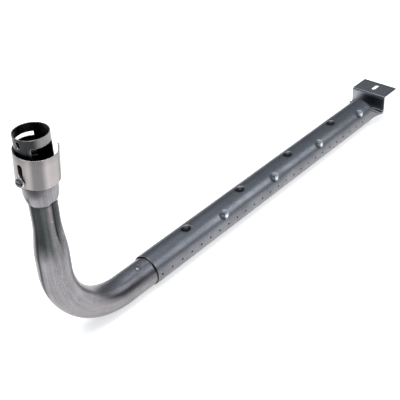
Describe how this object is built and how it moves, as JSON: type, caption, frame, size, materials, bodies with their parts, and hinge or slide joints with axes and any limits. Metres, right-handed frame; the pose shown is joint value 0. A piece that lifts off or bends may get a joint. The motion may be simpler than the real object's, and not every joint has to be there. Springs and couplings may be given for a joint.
{
  "type": "gas burner assembly",
  "caption": "Straight ported tube burner fed by a right-angle bent mixer pipe with a venturi throat, a sliding spring air shutter with clamp screw, and a Z bracket at the far end.",
  "frame": {"origin": "centre of the inlet mouth, in the plane of its rim", "axes": "+Z out of the inlet mouth, along the pipe's upright leg; +X along the burner tube, away from the inlet; +Y completes a right-handed frame"},
  "size_m": [0.6622, 0.0552, 0.261],
  "materials": {
    "tube_steel": "aluminised steel, drawn, satin",
    "pipe_steel": "drawn steel tube, satin, streaked along its length",
    "bracket_steel": "aluminised sheet, satin, bright at the bends",
    "shutter_steel": "bright rolled spring sheet, satin",
    "screw_steel": "plated steel, dark"
  },
  "bodies": {
    "burner": {"burner_tube": "tube_steel", "inlet_pipe": "pipe_steel", "rear_bracket": "bracket_steel"},
    "shutter": {"air_shutter": "shutter_steel"},
    "screw": {"shutter_screw": "screw_steel"}
  },
  "joints": [
    {"name": "shutter_slide", "type": "slide", "parent": "burner", "child": "shutter", "axis": [-0.0073, 0.1043, -0.9945], "range_m": [0, 0.0158]},
    {"name": "screw_turn", "type": "hinge", "parent": "burner", "child": "screw", "pos_m": [0, 0, -0.0425], "axis": [-0.9976, -0.0698, 0], "range_deg": [0, 360]}
  ]
}
